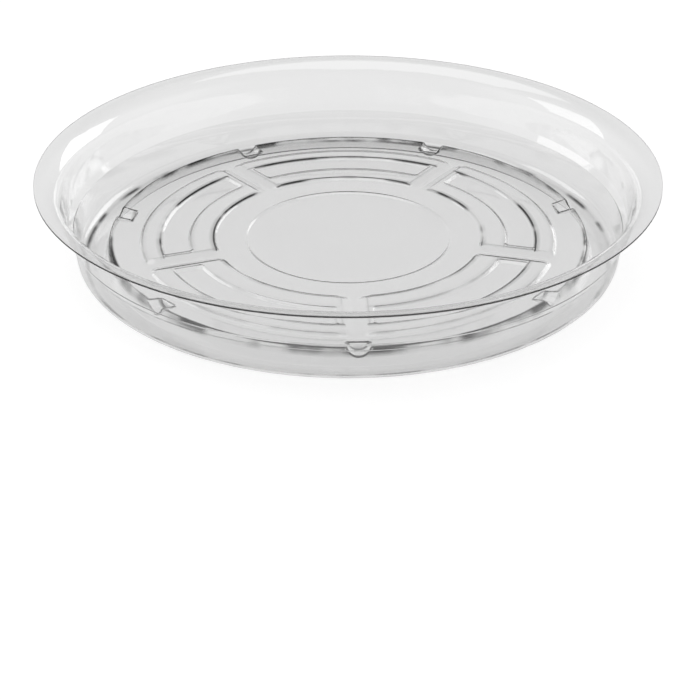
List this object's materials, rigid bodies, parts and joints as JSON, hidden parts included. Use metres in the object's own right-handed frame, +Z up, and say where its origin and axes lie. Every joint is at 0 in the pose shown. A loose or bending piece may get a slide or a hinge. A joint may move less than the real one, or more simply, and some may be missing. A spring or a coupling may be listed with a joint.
{
  "type": "plant saucer",
  "caption": "Round, shallow, clear plastic saucer with a flat lip and low raised pads, to catch water under a plant pot.",
  "frame": {"origin": "middle of the foot ring, at the level that the saucer stands on", "axes": "+Z up along the saucer's own axis; a gap between two pads and one scoop lie towards -Y"},
  "size_m": [0.254, 0.254, 0.036],
  "materials": {
    "clear_plastic": "clear gloss"
  },
  "bodies": {
    "root": {"saucer": "clear_plastic"}
  },
  "joints": []
}
